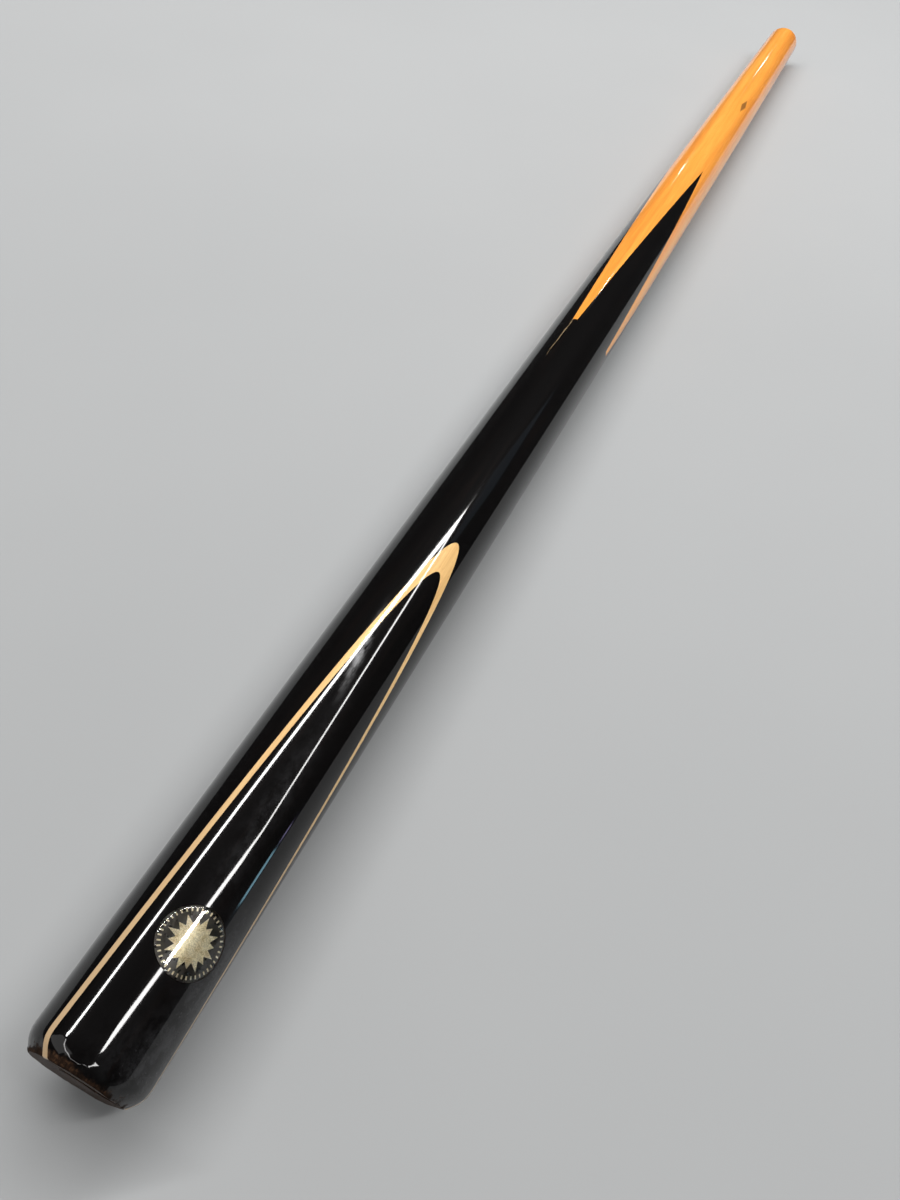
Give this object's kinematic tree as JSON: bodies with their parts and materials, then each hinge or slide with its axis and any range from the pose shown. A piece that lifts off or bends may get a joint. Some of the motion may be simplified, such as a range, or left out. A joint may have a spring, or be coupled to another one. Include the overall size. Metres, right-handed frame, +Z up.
{
  "type": "cue butt",
  "caption": "Butt half of a two-piece cue: maple forearm full-spliced into an ebony butt, with a front splice, a round badge and a socket for the joint screw.",
  "frame": {"origin": "on the table, below the middle of the cue's length", "axes": "+Y from the butt end towards the joint end, +Z up; the cue lies on the flat of its middle stretch, so its own axis falls 0.36 degrees towards +Y"},
  "size_m": [0.03, 0.7242, 0.0306],
  "materials": {
    "maple": "amber lacquer over maple, high gloss",
    "ebony": "clear lacquer over ebony, high gloss",
    "veneer": "clear lacquer over pale maple, high gloss",
    "badge": "pale gilt emblem on black",
    "badge_resin": "clear, polished flush",
    "socket_brass": "turned, slightly tarnished",
    "weight_steel": "plain turned bar",
    "bare_ebony": "bare end grain, worn dull"
  },
  "bodies": {
    "root": {"forearm": "maple", "butt_block": "ebony", "front_splice_veneer": "veneer", "front_splice_panel": "ebony", "badge_plate": "badge", "badge_lens": "badge_resin", "joint_socket": "socket_brass", "weight_rod": "weight_steel", "butt_plug": "bare_ebony", "kerf_filler": "veneer"}
  },
  "joints": []
}
